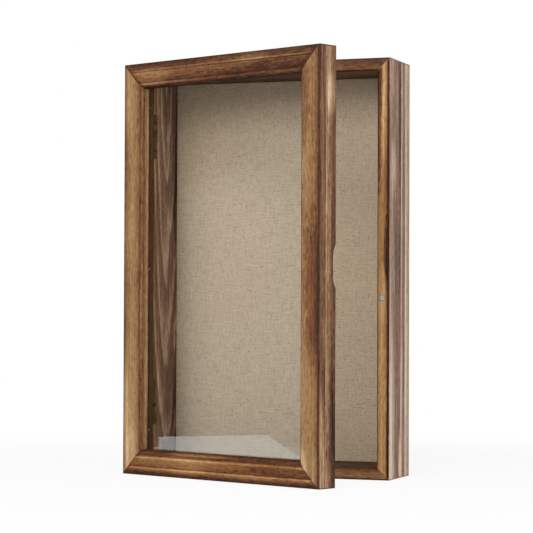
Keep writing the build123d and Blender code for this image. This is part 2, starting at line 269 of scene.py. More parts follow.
def torchedPine(name, body, side, look):
    bench = Bench(name)
    inward, back, along, toMitre = memberAxes(bench, body, side)
    span = {"front": door["frame"] if body == "door" else case["board"]}
    span["side"] = span["inner"] = door["thickness"] if body == "door" else case["depth"]

    def drawn(across, length, detail, roughness, shift):
        # Noise about 0, drawn out along the member.
        where = bench.join(inward * across + look["seed"] + shift, back * across, along * length)
        return bench.cloud(where, 1.0, detail, roughness) - 0.5

    passes, streaks, mottle, fibre, fleck = [drawn(*numbers) for numbers in torch["noise"].values()]
    fleck = fleck.fade(*torch["fleckFade"])

    # yearly rings about a pith that leans against the board, which draws arches where the cut is flat
    rings = look["rings"]
    pithIn = inward - rings["pith"][0] + along * rings["lean"][0] + passes * rings["wander"]
    pithBack = back - rings["pith"][1] + along * rings["lean"][1] + passes * rings["wander"]
    radius = (pithIn.squared() + pithBack.squared()).root() + mottle * torch["ringWaver"]
    late = bench.ramp((radius / rings["spacing"]) % 1.0, torch["ringShape"])

    # the level across each face, with patches where the torch stayed or hardly touched, and a few of painted
    # shade
    ragged = streaks * look["ragged"] + passes * look["drift"]
    waver = torch["patchWaver"]
    levels = {}
    for face, across in (("front", inward), ("side", back), ("inner", back)):
        stops = [(min(mm / span[face], 1.0), level) for mm, level in look[face]]
        level = bench.ramp((across + ragged) / span[face], stops)
        for spot, middle, reachAlong, reachAcross, change in look["patches"].get(face, []):
            away = ((across + ragged - middle) / reachAcross).squared()
            away = ((along - spot) / reachAlong).squared() + away
            away = away + mottle * waver["mottle"] + passes * waver["passes"]
            level += away.fade(*torch["patchFade"]) * change
        levels[face] = level
    onSide = (back - inward).fade(-torch["arris"], torch["arris"])
    innerFrom, innerTo = [span["front"] - gap for gap in torch["innerFade"]]
    onInner = inward.fade(innerFrom, innerTo) * back.fade(*torch["lipFade"])
    level = levels["front"] + (levels["side"] - levels["front"]) * onSide
    level += (levels["inner"] - level) * onInner

    # rings, then the slow and the fine changes along the grain
    show = rings["show"] + (rings["showInside"] - rings["show"]) * onInner
    level += (torch["ringMean"] - late) * show
    for pattern, kind in ((passes, "passes"), (streaks, "streaks"), (mottle, "mottle"), (fibre, "fibre")):
        level += pattern * look[kind]
    if look["sideStreaks"]:
        level += streaks * onSide * look["sideStreaks"]
    if look["brushed"]:
        # fine marks across the grain
        comb = torch["comb"]
        up = along * comb["along"] + look["seed"]
        where = bench.join(inward * comb["across"], back * comb["across"], up)
        combed = bench.cloud(where, 1.0, comb["detail"], comb["roughness"]) - 0.5
        level += combed * look["brushed"]

    # arrises and grooves: charred where the torch caught them, pale where they were sanded through
    waver = torch["edgeWaver"]
    for edgeIn, edgeBack, target, reach, strength in look["edges"]:
        gap = ((inward - edgeIn).squared() + (back - edgeBack).squared()).root()
        gap = gap + fibre * waver["fibre"] + mottle * waver["mottle"]
        level += (target - level) * (gap.fade(reach, reach * solidShare) * strength)
    endBurn = (toMitre + mottle * torch["endWaver"]).fade(look["endBurn"], 0.0) * look["endShow"]
    level += (torch["char"] - level) * endBurn
    level += (torch["char"] - level) * onSide * toMitre.fade(*torch["endLineFade"]) * look["endLine"]
    for target, middle, reach, strength in look["mitre"]:
        level += (target - level) * abs(toMitre - middle).fade(reach, reach * solidShare) * strength
    level -= fleck * look["flecks"]

    wood = bench.ramp(level, burnCurves[look["curve"]])
    if look["sawn"]:
        wood = bench.mix(onSide * look["sawn"], wood, bench.ramp(level, burnCurves["sawn"]))
    relief, rough = torch["relief"], torch["roughness"]
    height = fibre * relief["fibre"] - late * relief["late"] - fleck * relief["fleck"]
    return bench.surface(
        Base_Color=wood,
        Roughness=rough["base"] + fibre * rough["fibre"] - level * rough["pale"],
        Normal=bench.bump(height, relief["distance"], relief["strength"]),
        Specular_IOR_Level=torch["specular"],
    )


# Each face has a ramp of millimetres across it and burn levels. A patch is its middle along and across, its
# reach both ways and the change of level. An edge is millimetres in and back, its level, reach and strength.
# A mitre line is its level, offset, reach and strength.
plainLook = {
    "seed": 0.0,
    "curve": "planed",
    "rings": {"pith": (6.0, 60.0), "lean": (0.0, 0.04), "wander": 10.0, "spacing": 4.0,
              "show": 0.05, "showInside": 0.05},
    "patches": {},
    "drift": 0.9, "ragged": 0.7,
    "passes": 0.35, "streaks": 0.3, "sideStreaks": 0.0, "mottle": 0.5, "fibre": 0.5, "flecks": 0.17,
    "brushed": 0.0, "sawn": 0.0,
    "mitre": [(0.12, 0.0, 0.5, 0.7)],
    "endLine": 0.7, "endBurn": 8.0, "endShow": 0.0,
}
doorEdges = [(0.3, 0.3, 0.12, 1.4, 0.85), (0.3, 25.2, 0.15, 1.8, 0.8)]
doorLooks = {
    "left": {
        "seed": 2.0,
        "front": [(0, 0.32), (2.5, 0.38), (4.5, 0.5), (11, 0.65), (19.5, 0.55), (23, 0.3), (24, 0.5),
                  (25.5, 0.3)],
        "side": [(0, 0.45), (25.5, 0.3)],
        "inner": [(0, 0.4), (3.5, 0.4), (8, 0.7), (10, 0.7), (11, 0.25), (25.5, 0.2)],
        "patches": {
            "front": [(40, 4.5, 80, 5, 0.22), (85, 12, 85, 13, 0.08), (25, 14, 30, 12, 0.14),
                      (45, 24, 75, 2, -0.15), (385, 5, 45, 5, 0.16)],
            "inner": [(30, 9.5, 70, 2, -0.12)],
        },
        "edges": doorEdges + [(18, 18, 0.1, 9, 0.85)],
    },
    "right": {
        "seed": 5.0, "streaks": 0.16,
        "front": [(0, 0.15), (2.5, 0.4), (6.5, 0.55), (23.5, 0.6), (25.5, 0.45)],
        "side": [(0, 0.2), (3, 0.4), (9.5, 0.4), (10, 0.75), (20.5, 0.35), (23, 0.35), (25, 0.54)],
        "inner": [(0, 0.3), (25.5, 0.15)],
        "patches": {
            "front": [(186, 8, 76, 13, -0.17), (345, 8, 28, 9, -0.08), (15, 4, 25, 5, 0.1),
                      (60, 14, 90, 15, 0.1), (14, 21, 25, 8, 0.2), (360, 20, 60, 8, -0.1)],
            "side": [(374, 18, 22, 8, 0.24), (25, 4, 80, 6, 0.3), (120, 14, 110, 12, -0.1),
                     (60, 21, 100, 6, -0.15), (380, 15, 42, 5, 0.05), (33, 12, 5, 1.3, -0.35)],
        },
        "edges": doorEdges + [(25.5, 3.4, 0.03, 2.7, 0.95)],
        "mitre": [(0.8, -0.6, 0.8, 0.5)],
        "sideStreaks": 0.8, "sawn": 0.35,
    },
    "top": {
        "seed": 9.0,
        "front": [(0, 0.2), (6.5, 0.35), (7, 0.45), (9.5, 0.45), (19.5, 0.2), (21.7, 0.36), (24, 0.15),
                  (25.5, 0.1)],
        "side": [(0, 0.35), (12, 0.45), (25.5, 0.35)],
        "inner": [(0, 0.1), (25.5, 0.1)],
        "patches": {
            "front": [(-95, 14, 38, 9, 0.2), (-112, 4, 26, 5, -0.05), (45, 5, 25, 6, 0.1),
                      (60, 7.3, 70, 0.9, 0.14), (88, 14, 50, 8, -0.07),
                      (-85, 21.7, 60, 1.3, 0.16)],
        },
        "edges": doorEdges + [(8.9, 0.6, 0.1, 0.7, 0.6)],
        "brushed": 0.3, "endBurn": 7.0, "endShow": 0.6,
    },
    "bottom": {
        "seed": 13.0, "curve": "russet",
        "front": [(0, 0.05), (4, 0.28), (7.6, 0.75), (9, 0.38), (16.5, 0.5), (18.3, 0.78), (20.3, 0.27),
                  (23.5, 0.3), (25.5, 0.15)],
        "side": [(0, 0.3), (25.5, 0.35)],
        "inner": [(0, 0.2), (25.5, 0.15)],
        "patches": {
            "front": [(-45, 13, 34, 13, 0.15), (-95, 13, 30, 9, 0.05), (88, 13, 48, 7, -0.15),
                      (-25, 23.5, 48, 1.8, 0.24)],
        },
        "edges": doorEdges[:1] + [(0.3, 25.2, 0.12, 1.6, 0.8), (8.9, 0.6, 0.2, 0.6, 0.4)],
        "brushed": 0.26, "endBurn": 6.0, "endShow": 0.35,
    },
}
caseEdges = [(0.3, 0.3, 0.1, 1.7, 0.85), (0.5, 71.0, 0.3, 1.4, 0.6), (12.3, 0.6, 0.1, 1.6, 0.85)]
caseLooks = {
    "left": {
        "seed": 17.0,
        "front": [(0, 0.2), (3, 0.45), (9, 0.5), (12.7, 0.35)],
        "side": [(0, 0.5), (14, 0.65), (31, 0.35), (40, 0.4), (43, 0.7), (50, 0.42), (56, 0.75),
                 (62, 0.56), (71.5, 0.52)],
        "inner": [(0, 0.6), (8, 0.62), (35, 0.55), (71.5, 0.42)],
        "edges": caseEdges,
        "rings": {"pith": (-34.9, 34.0), "lean": (-0.1, 0.0), "wander": 14.0, "spacing": 9.0,
                  "show": 0.06, "showInside": -0.42},
        # the two darker patches along the back of the inner face, high and low, are painted shade where the
        # wall meets the lining
        "patches": {"inner": [(320, 59, 85, 9, -0.3), (205, 36, 60, 14, 0.06), (50, 59, 80, 9, -0.25)]},
        "sawn": 1.0, "ragged": 3.0, "drift": 6.0, "streaks": 0.5,
    },
    "right": {
        "seed": 21.0, "curve": "russet",
        "front": [(0, 0.08), (1.5, 0.2), (3.5, 0.55), (7.5, 0.7), (11.5, 0.58), (12.7, 0.2)],
        "side": [(0, 0.5), (2, 0.65), (8, 0.7), (25, 0.45), (39, 0.42), (42, 0.95), (45, 0.6), (50, 0.38),
                 (53, 0.5),
                 (56, 1.0), (60, 0.8), (71.5, 0.65)],
        "inner": [(0, 0.2), (30, 0.3), (71.5, 0.2)],
        "patches": {
            "front": [(375, 11, 95, 3.2, -0.34), (400, 9.5, 40, 3, -0.2), (228, 2.5, 36, 3.6, -0.4),
                      (60, 1, 90, 1.6, -0.4),
                      (365, 6, 50, 0.8, 0.1), (60, 5.5, 130, 7, 0.14), (185, 8, 30, 6, 0.1),
                      (370, 6, 70, 7, 0.15)],
            "side": [(350, 36.5, 85, 4.5, -0.34), (385, 28, 45, 2.5, 0.14), (310, 14, 28, 12, 0.15),
                     (225, 26, 70, 12, -0.1),
                     (0, 2, 180, 15, 0.32), (16, 37, 36, 4, 0.5), (60, 40, 120, 45, 0.06)],
        },
        "edges": [(1.2, 0.0, 0.1, 1.6, 0.85), caseEdges[1], (12.5, 0.5, 0.1, 1.0, 0.85)],
        "rings": {"pith": (45.0, 30.0), "lean": (0.09, 0.0), "wander": 10.0, "spacing": 9.0,
                  "show": 0.06, "showInside": 0.1},
        "sawn": 1.0, "ragged": 1.0, "drift": 1.0, "streaks": 0.4, "sideStreaks": 0.8,
        "mitre": [(0.75, 0.5, 0.7, 0.6)],
    },
    "top": {
        "seed": 25.0,
        "front": [(0, 0.1), (1, 0.27), (10, 0.36), (12.7, 0.1)],
        "side": [(0, 0.3), (20, 0.45), (71.5, 0.3)],
        "inner": [(0, 0.25), (3, 0.35), (26, 0.3), (32, 0.45), (44, 0.25), (71.5, 0.2)],
        "edges": caseEdges[:2] + [(12.3, 0.6, 0.08, 1.3, 0.8)],
        "sawn": 0.6,
    },
    "bottom": {
        "seed": 29.0,
        "front": [(0, 0.1), (1.5, 0.45), (4, 0.55), (8.5, 0.45), (12.7, 0.15)],
        "side": [(0, 0.4), (40, 0.35), (71.5, 0.4)],
        "inner": [(0, 0.2), (71.5, 0.15)],
        "edges": caseEdges[:2],
        "sawn": 0.6, "brushed": 0.15,
    },
}
doorNodes = {"left": "door_hinge_stile", "right": "door_latch_stile", "top": "door_top_rail",
             "bottom": "door_bottom_rail"}
caseNodes = {"left": "case_left_side", "right": "case_right_side", "top": "case_top_board",
             "bottom": "case_bottom_board"}
for body, nodes, looks in (("door", doorNodes, doorLooks), ("case", caseNodes, caseLooks)):
    for side, name in nodes.items():
        dress(torchedPine("torched_pine_" + name, body, side, plainLook | looks[side]), name)
print("torched pine:", len(doorNodes) + len(caseNodes), "frame members")


# The small dark beads that hold the glass. A noise is its scale, detail and roughness, and a bump is its
# distance and strength, here and below.
stopLook = {
    "seed": 40.0,
    "dark": "#27130D",
    "light": "#3A1F15",
    "across": 1.2,
    "along": 0.03,
    "fibre": (1.0, 4.0, 0.65),
    "passesFade": (0.35, 0.65),
    "grain": 0.6,
    "roughness": 0.6,
    "roughGrain": 0.2,
    "bump": (0.00012, 0.5),
    "specular": 0.15,
}


def stopPine(name, upright):
    bench = Bench(name)
    x, y, z = bench.axes(bench.point())
    across, along = stopLook["across"], stopLook["along"]
    scales = (across, across, along) if upright else (along, across, across)
    fibre = bench.cloud(bench.stretch((x, y, z), scales), *stopLook["fibre"])
    passes = bench.cloud(bench.join(x * along + stopLook["seed"], y * along, z * along), 1.0)
    wood = bench.mix(passes.fade(*stopLook["passesFade"]), stopLook["dark"], stopLook["light"])
    return bench.surface(
        Base_Color=bench.shade(wood, 1.0 + (fibre - 0.5) * stopLook["grain"]),
        Roughness=stopLook["roughness"] + (fibre - 0.5) * stopLook["roughGrain"],
        Normal=bench.bump(fibre, *stopLook["bump"]),
        Specular_IOR_Level=stopLook["specular"],
    )


dress(stopPine("stop_pine_upright", True), "left_glass_stop", "right_glass_stop")
dress(stopPine("stop_pine_across", False), "top_glass_stop", "bottom_glass_stop")

glassLook = {
    "tint": "#F5F6F4",
    "ior": 1.5,
    "hazeScales": (0.02, 0.02, 0.03),
    "hazeFade": (0.45, 0.8),
    "haze": 0.02,
}


def paneGlass():
    bench = Bench("pane_glass")
    shadow, diffuse = bench.rays("Is Shadow Ray", "Is Diffuse Ray")
    where = bench.stretch(bench.axes(bench.point()), glassLook["hazeScales"])
    haze = bench.cloud(where, 1.0, 3.0).fade(*glassLook["hazeFade"])
    glass = bench.add("ShaderNodeBsdfPrincipled", {}, {
        "Base Color": colour(glassLook["tint"]),
        "Roughness": haze * glassLook["haze"],
        "IOR": glassLook["ior"],
        "Transmission Weight": 1.0,
    })
    clear = bench.add("ShaderNodeBsdfTransparent", {}, {"Color": colour(glassLook["tint"])})
    # lamps and bounced light pass straight through, so the case behind is lit
    return bench.finish(bench.layer(shadow.atLeast(diffuse), glass, clear))


dress(paneGlass(), "glass_pane")
print("glass and its stops")

magnetLook = {"light": "#B4B4B3", "dark": "#858584", "roughness": 0.28, "patches": 0.9, "grain": 2.5}
metalLooks = {
    "hinge": {"light": "#9F8260", "dark": "#735B42", "roughness": 0.5, "patches": 0.12, "grain": 1.6},
    "screw": {"light": "#B09A6A", "dark": "#54442E", "roughness": 0.34, "patches": 0.3, "grain": 3.0},
    "magnet": magnetLook,
    # The case magnet's rim tone is painted shade at the disc's edge.
    "caseMagnet": magnetLook | {"rim": {"x": 126.3, "z": 181.0, "radius": 3.18, "tone": "#4C4A48"}},
    "hanger": {"light": "#C9BC96", "dark": "#8C7E5C", "roughness": 0.36, "patches": 0.1, "grain": 1.4},
    "fastener": {"light": "#A9A9A7", "dark": "#6A6966", "roughness": 0.42, "patches": 0.25, "grain": 2.2},
}
# How every metal wears: tarnish in patches and brush marks drawn out upwards; and where a magnet's painted
# rim shade fades in
metalWearAndShade = {
    "tarnish": (3.0, 0.6),
    "tarnishFade": (0.42, 0.68),
    "brushed": (1.0, 3.0, 0.6),
    "brushedUp": 0.15,
    "shade": 0.3,
    "rimShadeFade": (0.78, 0.95),
    "roughTarnish": 0.2,
    "roughBrushed": 0.15,
    "bump": (0.00004, 0.5),
}


def wornMetalWithRimShade(name, look):
    bench = Bench(name)
    point = bench.point()
    x, y, z = bench.axes(point)
    grain = look["grain"]
    tarnish = bench.cloud(point, look["patches"], *metalWearAndShade["tarnish"]).fade(*metalWearAndShade["tarnishFade"])
    drawn = bench.stretch((x, y, z), (grain, grain, metalWearAndShade["brushedUp"]))
    brushed = bench.cloud(drawn, *metalWearAndShade["brushed"])
    metal = bench.mix(tarnish, look["light"], look["dark"])
    metal = bench.shade(metal, 1.0 + (brushed - 0.5) * metalWearAndShade["shade"])
    # a darker ring at the disc's edge: painted shade
    if "rim" in look:
        rim = look["rim"]
        out = ((x - rim["x"]).squared() + (z - rim["z"]).squared()).root()
        rimFrom, rimTo = [share * rim["radius"] for share in metalWearAndShade["rimShadeFade"]]
        metal = bench.mix(out.fade(rimFrom, rimTo), metal, rim["tone"])
    rough = look["roughness"] + tarnish * metalWearAndShade["roughTarnish"]
    rough += (brushed - 0.5) * metalWearAndShade["roughBrushed"]
    relief = bench.bump(brushed, *metalWearAndShade["bump"])
    return bench.surface(Base_Color=metal, Metallic=1.0, Roughness=rough, Normal=relief)


metals = {kind: wornMetalWithRimShade("metal_" + kind, look) for kind, look in metalLooks.items()}
for where in ("upper", "lower"):
    dress(metals["hinge"], *[where + "_hinge_" + what for what in ("case_leaf", "door_leaf", "pin")])
dress(metals["magnet"], "door_magnet")
dress(metals["caseMagnet"], "case_magnet")
dress(metals["hanger"], "sawtooth_hanger")
dress(metals["fastener"], "case_corner_vee_nails", "door_corner_vee_nails")
dress(metals["fastener"], "back_panel_brads", "glass_stop_brads")
print("metals")

# The hardboard back, with the print of the press's screen, and the soft board that pins go into
backLook = {
    "light": "#9A7650",
    "dark": "#6E4F33",
    "screen": 1.1,
    "fibre": (0.5, 6.0, 0.7),
    "fibreFade": (0.35, 0.65),
    "patch": (0.02, 3.0),
    "shade": {"base": 0.9, "patch": 0.25, "screen": 0.05},
    "roughness": 0.62,
    "roughFibre": 0.2,
    "screenRelief": 0.5,
    "bump": (0.0002, 0.6),
}
pinLook = {
    "light": "#C9B28C",
    "dark": "#A58B64",
    "crumb": (0.9, 4.0, 0.6),
    "crumbFade": (0.35, 0.65),
    "roughness": 0.85,
    "bump": (0.0003, 0.6),
}


def hardboard():
    bench = Bench("hardboard")
    point = bench.point()
    x, unused, z = bench.axes(point)
    fibre = bench.cloud(point, *backLook["fibre"])
    patch = bench.cloud(point, *backLook["patch"])
    pitch = pi / backLook["screen"]
    screen = (x * pitch).sine() * (z * pitch).sine()
    tint = bench.mix(fibre.fade(*backLook["fibreFade"]), backLook["dark"], backLook["light"])
    shade = backLook["shade"]
    return bench.surface(
        Base_Color=bench.shade(tint, shade["base"] + patch * shade["patch"] + screen * shade["screen"]),
        Roughness=backLook["roughness"] + fibre * backLook["roughFibre"],
        Normal=bench.bump(screen * backLook["screenRelief"] + fibre, *backLook["bump"]),
    )


def fibreboard():
    bench = Bench("pin_board")
    crumb = bench.cloud(bench.point(), *pinLook["crumb"])
    tint = bench.mix(crumb.fade(*pinLook["crumbFade"]), pinLook["dark"], pinLook["light"])
    relief = bench.bump(crumb, *pinLook["bump"])
    return bench.surface(Base_Color=tint, Roughness=pinLook["roughness"], Normal=relief)


dress(hardboard(), "back_panel")
dress(fibreboard(), "pin_board")
print("back panel and pin board")


def piece(name, mesh, material, body):
    # A finished mesh as an object at the origin that rides on a body.
    made = placed(name, mesh)
    mesh.materials.clear()
    mesh.materials.append(material)
    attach(made, body)
    return made


def smooth(mesh, angle):
    # Smooth, but for edges sharper than the angle.
    mesh.polygons.foreach_set("use_smooth", [True] * len(mesh.polygons))
    mesh.set_sharp_from_angle(angle=radians(angle))


def settled(name, work, angle):
    # A bmesh as a plain, smoothed mesh.
    made = bpy.data.meshes.new(name)
    work.to_mesh(made)
    work.free()
    smooth(made, angle)
    return made


# Linen, stretched over the pin board and turned round its edges
linen = {
    "halfWidth": 120.3,
    "low": 13.2,
    "high": 406.8,
    "face": 26.52,
    "foot": 29.6,
    "bend": 0.45,
    "thickness": 0.34,
    "cell": 3.0,
    "ripple": 0.05,
    "rippleScale": (0.03, 0.02),
    "rippleSeed": 4.0,
    "smoothAngle": 60.0,
    "light": "#E7D4B9",
    "dark": "#B0967C",
    "fleck": "#5B4634",
}
weave = {
    # blotches per millimetre across and up, a seed, detail and roughness
    "blotches": {
        "wear": (0.012, 0.012, 3.0, 3.0, 0.5),
        "speck": (0.35, 0.9, 5.0, 2.0, 0.5),
        "speckUp": (0.9, 0.3, 9.0, 2.0, 0.5),
        "thick": (0.07, 0.42, 11.0, 2.0, 0.6),
        "thickUp": (0.42, 0.07, 13.0, 2.0, 0.6),
    },
    "pitch": 0.62,
    "along": 0.09,
    "across": 0.6,  # blotches of one thread to the next
    "noise": (1.0, 3.0, 0.7),
    "wander": 2.0,
    "crossing": 0.25,
    "tone": 0.42,
    "uneven": 0.65,
    "slubs": 0.3,
    "heightMean": 0.6,
    "hollowShade": 0.45,
    "wearTone": (0.955, 0.08),
    "speckFade": (0.62, 0.72),
    "speckUpFade": (0.64, 0.74),
    "speckTone": 0.8,
    "roughness": (0.88, 0.1),
    "sheen": (0.15, 0.5),
    "threadRelief": 0.8,
    "bump": (0.00022, 0.8),
}


def linenWeave():
    bench = Bench("linen")
    flat = bench.add("ShaderNodeUVMap", {"uv_map": "clothFlat"})
    inMillimetres = bench.add("ShaderNodeMapping", {}, {"Vector": flat, "Scale": (1000, 1000, 1)})
    across, up, unused = bench.axes(inMillimetres)
    pitch, share, drawn = weave["pitch"], weave["across"], weave["along"]
    # thick and thin threads both ways, as short drawn-out noise
    weft = bench.cloud(bench.join(across * drawn, up / pitch * share, 0.0), *weave["noise"])
    warp = bench.cloud(bench.join(across / pitch * share, up * drawn, 7.0), *weave["noise"])
    threadX = (across * (pi / pitch) + (warp - 0.5) * weave["wander"]).sine()
    threadY = (up * (pi / pitch) + (weft - 0.5) * weave["wander"]).sine()
    over = (threadX * threadY).fade(-weave["crossing"], weave["crossing"])
    crownX, crownY = abs(threadX), abs(threadY)
    height = crownY + (crownX - crownY) * over
    # wear and specks, and slubs a few millimetres long that stand out of the even weave
    wear, speck, speckUp, thick, thickUp = [
        bench.cloud(bench.join(across * perAcross, up * perUp, seed), 1.0, detail, roughness)
        for perAcross, perUp, seed, detail, roughness in weave["blotches"].values()
    ]
    uneven = (weft + warp - 1.0) * weave["uneven"] + (thick + thickUp - 1.0) * weave["slubs"]
    # thread crowns lighter and the hollows between threads darker: painted shade in the weave
    tone = weave["tone"] + uneven + (height - weave["heightMean"]) * weave["hollowShade"]
    cloth = bench.mix(tone.fade(0.0, 1.0), linen["dark"], linen["light"])
    cloth = bench.shade(cloth, weave["wearTone"][0] + wear * weave["wearTone"][1])
    specks = speck.fade(*weave["speckFade"]).atLeast(speckUp.fade(*weave["speckUpFade"]))
    relief = height + weft * weave["threadRelief"] + warp * weave["threadRelief"]
    return bench.surface(
        Base_Color=bench.mix(specks * weave["speckTone"], cloth, linen["fleck"]),
        Roughness=weave["roughness"][0] - height * weave["roughness"][1],
        Sheen_Weight=weave["sheen"][0],
        Sheen_Roughness=weave["sheen"][1],
        Normal=bench.bump(relief, *weave["bump"]),
    )


def linenLines(low, high):
    # Places of the grid lines over one direction of the flat cloth, close together where it turns the edge.
    bend, drop = linen["bend"], linen["foot"] - linen["face"] - linen["bend"]
    arc = bend * pi / 2
    flatLow, flatHigh = low + bend, high - bend
    count = round((flatHigh - flatLow) / linen["cell"])
    flats = [flatLow + (flatHigh - flatLow) * i / count for i in range(count + 1)]
    turn = [arc / 3, arc * 2 / 3, arc, arc + drop / 2, arc + drop]
    return [flatLow - t for t in reversed(turn)] + flats + [flatHigh + t for t in turn]


def linenSheet():
    half, low, high, bend = linen["halfWidth"], linen["low"], linen["high"], linen["bend"]
    acrossLines, upLines = linenLines(-half, half), linenLines(low, high)
    mesh = bmesh.new()
    flatMap = mesh.loops.layers.uv.new("clothFlat")
    grid, flats = {}, {}
    for i, s in enumerate(acrossLines):
        for j, t in enumerate(upLines):
            x = max(-half + bend, min(half - bend, s))
            z = max(low + bend, min(high - bend, t))
            over = Vector((s - x, t - z))
            length = over.length
            onFace = length < 1e-6
            toward = Vector((0, 0)) if onFace else over.normalized()
            angle = min(length / bend, pi / 2)
            reach = bend * sin(angle)
            down = bend * (1 - cos(angle)) + max(0.0, length - bend * pi / 2)
            spot = Vector((s * linen["rippleScale"][0], t * linen["rippleScale"][1], linen["rippleSeed"]))
            ripple = noise.noise(spot) * linen["ripple"]
            y = min(linen["face"] + down + (ripple if onFace else 0.0), linen["foot"])
            grid[i, j] = mesh.verts.new(Vector((x + toward.x * reach, y, z + toward.y * reach)) / 1000)
            flats[i, j] = (s / 1000, t / 1000)
    for i in range(len(acrossLines) - 1):
        for j in range(len(upLines) - 1):
            keys = [(i, j), (i + 1, j), (i + 1, j + 1), (i, j + 1)]
            face = mesh.faces.new([grid[key] for key in keys])
            for loop, key in zip(face.loops, keys):
                loop[flatMap].uv = flats[key]
    cloth = settled("linen", mesh, linen["smoothAngle"])
    made = piece("linen_lining", cloth, linenWeave(), "case")
    thick = made.modifiers.new("thickness", "SOLIDIFY")
    thick.thickness = linen["thickness"] / 1000
    thick.offset = 0.0
    flatSize = [(lines[-1] - lines[0]) / 1000 for lines in (acrossLines, upLines)]
    return made, flatSize


lining, flatLinen = linenSheet()
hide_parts("linen_cover")
print("linen cut to", [round(side, 4) for side in flatLinen])


class Planter(Bench):
    # A Geometry Nodes tree being made. Each input is a kind of socket.
    def __init__(self, name, **inputs):
        self.tree = bpy.data.node_groups.new(name, "GeometryNodeTree")
        self.tree.interface.new_socket("Geometry", in_out="OUTPUT", socket_type="NodeSocketGeometry")
        self.identifiers = {}
        for label, kind in inputs.items():
            socket = self.tree.interface.new_socket(label, in_out="INPUT", socket_type="NodeSocket" + kind)
            self.identifiers[label] = socket.identifier
        outputs = self.add("NodeGroupInput").socket.node.outputs
        self.given = {label: Wire(self, outputs[label]) for label in inputs}

    def chance(self, kind, low, high):
        # A random value for each instance. The places are those of the node's sockets for its kind.
        first, out = {"FLOAT": (2, 1), "INT": (4, 2)}[kind]
        sockets = {first: low, first + 1: high, "Seed": self.given["Seed"]}
        return self.add("FunctionNodeRandomValue", {"data_type": kind}, sockets, out)

    def end(self, laid):
        # Instances as one mesh with its material, to the output.
        whole = self.add("GeometryNodeRealizeInstances", {}, {"Geometry": laid})
        sockets = {"Geometry": whole, "Material": self.given["Material"]}
        coated = self.add("GeometryNodeSetMaterial", {}, sockets)
        self.add("NodeGroupOutput", {}, {"Geometry": coated})
        return self

    def grow(self, name, **values):
        # Runs the tree on an empty mesh and gives back the plain mesh that it made.
        holder = placed(name, bpy.data.meshes.new(name))
        modifier = holder.modifiers.new("make", "NODES")
        modifier.node_group = self.tree
        for label, value in values.items():
            modifier[self.identifiers[label]] = value
        holder.update_tag()
        bpy.context.view_layer.update()
        evaluated = holder.evaluated_get(bpy.context.evaluated_depsgraph_get())
        mesh = bpy.data.meshes.new_from_object(evaluated)
        bpy.data.objects.remove(holder)
        return mesh


def fastenerRow():
    # A row of one fastener along X, centred, each turned about its own length at random.
    bed = Planter("fastenerRow", Pattern="Object", Count="Int", Spacing="Float", Turn="Float", Seed="Int",
                  Material="Material")
    given = bed.given
    start = (given["Count"] - 1.0) * given["Spacing"] * -0.5
    row = bed.add("GeometryNodeMeshLine", {"mode": "OFFSET"}, {
        "Count": given["Count"],
        "Start Location": bed.join(start, 0.0, 0.0),
        "Offset": bed.join(given["Spacing"], 0.0, 0.0),
    })
    sockets = {"Object": given["Pattern"], "As Instance": True}
    pattern = bed.add("GeometryNodeObjectInfo", {}, sockets, "Geometry")
    turn = bed.join(0.0, 0.0, bed.chance("FLOAT", 0.0, given["Turn"]))
    sockets = {"Points": row, "Instance": pattern, "Rotation": turn}
    return bed.end(bed.add("GeometryNodeInstanceOnPoints", {}, sockets))


def lathe(work, outline, steps):
    # Turns (radius, height) points in millimetres about Z; a radius of 0 closes the end.
    turns = [2 * pi * k / steps for k in range(steps)]
    rings = []
    for radius, level in outline:
        spots = [(radius * cos(turn), radius * sin(turn), level) for turn in (turns if radius else [0.0])]
        rings.append([work.verts.new([length / 1000 for length in spot]) for spot in spots])
    for lower, upper in zip(rings, rings[1:]):
        for k in range(steps):
            corners = [(lower, k), (lower, k + 1), (upper, k + 1), (upper, k)]
            around = [ring[place % len(ring)] for ring, place in corners]
            work.faces.new(list(dict.fromkeys(around)))
    return rings


screw = {
    "headRadius": 2.2,
    "headHeight": 1.0,
    "rim": (0.04, 0.12),  # how far the head's edge is broken, inwards and down
    "shankRadius": 1.2,
    "length": 12.0,
    "point": (3.0, 0.2),  # where the point starts and ends, from the full length
    "recessReach": 1.35,
    "recessHalf": 0.32,
    "recessDepth": 0.75,
    "recessTaper": 0.7,
    "count": 2,
    "spacing": 28.0,
    "inset": 9.9,
    "leafFace": 0.3,
    "seed": 3,
    "steps": 32,
    "smoothAngle": 30.0,
}


